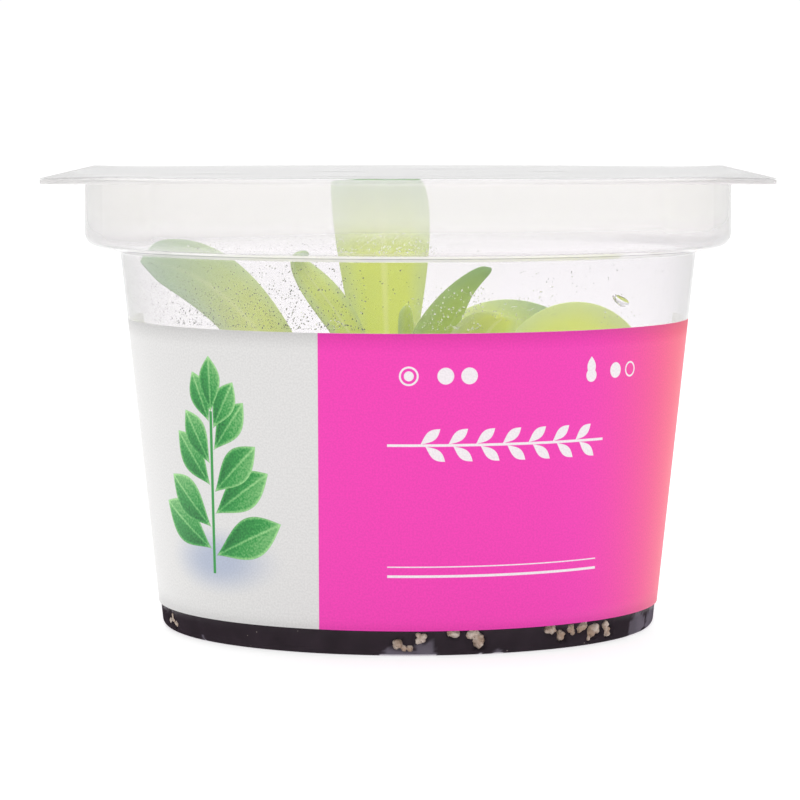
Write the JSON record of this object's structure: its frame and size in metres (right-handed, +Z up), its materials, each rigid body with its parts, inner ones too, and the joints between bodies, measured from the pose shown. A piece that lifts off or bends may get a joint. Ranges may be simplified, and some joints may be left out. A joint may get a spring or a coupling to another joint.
{
  "type": "butterwort in a sealed culture cup",
  "caption": "Young butterwort rosette growing in black gel inside a clear tapered plastic cup with a square flange, a sealed clear lid film and a printed wrap label.",
  "frame": {"origin": "middle of the cup's flat base", "axes": "+Z up through the lid film; -Y is the front, where the label's two panels meet just left of the middle; +Y is the clear back"},
  "size_m": [0.09, 0.09, 0.0603],
  "materials": {
    "cup_plastic": "clear, slightly milky thermoformed polypropylene",
    "lid_film": "thin clear film, slightly wavy",
    "label_print": "satin print on white stock, pale grey panel and magenta panel",
    "gel": "wet black agar with charcoal",
    "grains": "rough porous mineral grains",
    "crown": "fleshy, soft sheen",
    "leaf": "fleshy translucent lime green, soft sheen"
  },
  "bodies": {
    "root": {"cup": "cup_plastic", "lid_film": "lid_film", "label": "label_print", "gel": "gel", "grains_front": "grains", "grains_front_right": "grains", "grains_right": "grains", "grains_left": "grains", "grains_back_left": "grains", "grains_back_right": "grains", "grains_top_front": "grains", "grains_top_right": "grains", "grains_top_back": "grains", "grains_top_left": "grains", "crown": "crown", "leaf_left": "leaf", "leaf_tall": "leaf", "leaf_thin_left": "leaf", "leaf_curved_right": "leaf", "leaf_right": "leaf", "leaf_back_right": "leaf", "leaf_front_right": "leaf", "leaf_front": "leaf", "leaf_front_left": "leaf", "leaf_back_left": "leaf", "leaf_back": "leaf"}
  },
  "joints": []
}
